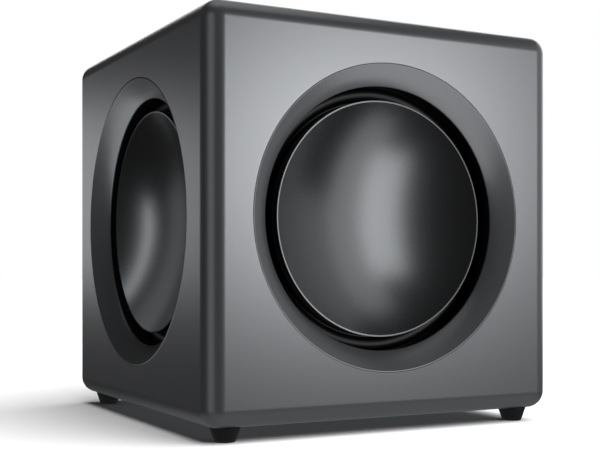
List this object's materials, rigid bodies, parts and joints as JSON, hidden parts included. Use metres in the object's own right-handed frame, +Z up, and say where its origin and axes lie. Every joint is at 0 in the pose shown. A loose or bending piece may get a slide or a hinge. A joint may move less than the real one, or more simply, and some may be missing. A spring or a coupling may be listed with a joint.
{
  "type": "subwoofer",
  "caption": "Cube subwoofer with a driven dish-faced bass unit in front, a matching passive radiator in each side and an amplifier plate at the back, on four feet.",
  "frame": {"origin": "on the floor, at the middle of the whole object's box", "axes": "+Z up, the driven unit faces -Y, +X to the right when looking along +Y"},
  "size_m": [0.28, 0.3, 0.29],
  "materials": {
    "lacquer": "MDF in satin metallic grey lacquer",
    "trim": "satin metallic grey lacquer",
    "dish": "satin dark anodised",
    "rubber": "moulded",
    "foot_rubber": "matt moulded",
    "black_steel": "black powder coat",
    "zinc_steel": "zinc plated",
    "black_screw": "black oxide",
    "foam": "closed-cell foam",
    "paper": "pressed paper pulp",
    "spider_cloth": "resin-dipped cotton",
    "former": "polyimide",
    "copper": "enamelled copper",
    "ferrite": "sintered ferrite",
    "black_plastic": "fine texture",
    "heat_sink": "black anodised",
    "gold": "gold plated",
    "lamp": "clear diffused",
    "board": "solder mask",
    "components": "sleeved",
    "winding": "polyester tape",
    "wire": "pvc",
    "wadding": "bonded polyester"
  },
  "bodies": {
    "root": {"amplifier_plate": "black_steel", "board_parts": "components", "board_standoffs": "zinc_steel", "bottom_panel": "lacquer", "circuit_board": "board", "control_pots": "zinc_steel", "front_baffle": "lacquer", "heat_sink": "heat_sink", "inlet_blades": "zinc_steel", "input_jacks": "gold", "internal_leads": "wire", "left_panel": "lacquer", "left_radiator_basket": "black_steel", "left_radiator_spider": "spider_cloth", "left_radiator_surround": "rubber", "left_radiator_trim_ring": "trim", "magnet_ring": "ferrite", "magnet_top_plate": "zinc_steel", "mains_inlet": "black_plastic", "plate_gasket": "foam", "plate_screws": "black_screw", "pole_and_back_plate": "zinc_steel", "rear_panel": "lacquer", "right_panel": "lacquer", "right_radiator_basket": "black_steel", "right_radiator_spider": "spider_cloth", "right_radiator_surround": "rubber", "right_radiator_trim_ring": "trim", "rocker_frame": "black_plastic", "rubber_feet": "foot_rubber", "slide_switches": "black_plastic", "status_lamp": "lamp", "top_panel": "lacquer", "transformer": "winding", "transformer_fixing": "zinc_steel", "unit_gaskets": "foam", "wadding": "wadding", "wood_screws": "black_screw", "woofer_basket": "black_steel", "woofer_spider": "spider_cloth", "woofer_surround": "rubber", "woofer_terminals": "black_plastic", "woofer_trim_ring": "trim"},
    "woofer_mover": {"woofer_dish": "dish", "woofer_cone": "paper", "voice_coil_former": "former", "voice_coil": "copper"},
    "left_radiator_mover": {"left_radiator_dish": "dish", "left_radiator_hub": "black_plastic", "left_radiator_weight": "zinc_steel"},
    "right_radiator_mover": {"right_radiator_dish": "dish", "right_radiator_hub": "black_plastic", "right_radiator_weight": "zinc_steel"},
    "volume_control": {"volume_knob": "black_plastic", "volume_shaft": "zinc_steel"},
    "crossover_control": {"crossover_knob": "black_plastic", "crossover_shaft": "zinc_steel"},
    "phase_control": {"phase_slider": "black_plastic"},
    "standby_control": {"standby_slider": "black_plastic"},
    "power_control": {"power_rocker": "black_plastic"}
  },
  "joints": [
    {"name": "woofer_travel", "type": "slide", "parent": "root", "child": "woofer_mover", "axis": [0, -1, 0], "range_m": [-0.008, 0.008], "stiffness_N_per_m": 4000, "deforming": ["woofer_surround", "woofer_spider"]},
    {"name": "left_radiator_travel", "type": "slide", "parent": "root", "child": "left_radiator_mover", "axis": [-1, 0, 0], "range_m": [-0.008, 0.008], "stiffness_N_per_m": 3000, "deforming": ["left_radiator_surround", "left_radiator_spider"]},
    {"name": "right_radiator_travel", "type": "slide", "parent": "root", "child": "right_radiator_mover", "axis": [1, 0, 0], "range_m": [-0.008, 0.008], "stiffness_N_per_m": 3000, "deforming": ["right_radiator_surround", "right_radiator_spider"]},
    {"name": "volume_turn", "type": "hinge", "parent": "root", "child": "volume_control", "pos_m": [0.046, 0.135, 0.238], "axis": [0, -1, 0], "range_deg": [0, 300]},
    {"name": "crossover_turn", "type": "hinge", "parent": "root", "child": "crossover_control", "pos_m": [0.01, 0.135, 0.238], "axis": [0, -1, 0], "range_deg": [0, 300]},
    {"name": "phase_slide", "type": "slide", "parent": "root", "child": "phase_control", "axis": [1, 0, 0], "range_m": [0, 0.003]},
    {"name": "standby_slide", "type": "slide", "parent": "root", "child": "standby_control", "axis": [1, 0, 0], "range_m": [0, 0.003]},
    {"name": "power_rock", "type": "hinge", "parent": "root", "child": "power_control", "pos_m": [0.01, 0.135, 0.066], "axis": [0, 0, 1], "range_deg": [0, 18]}
  ]
}
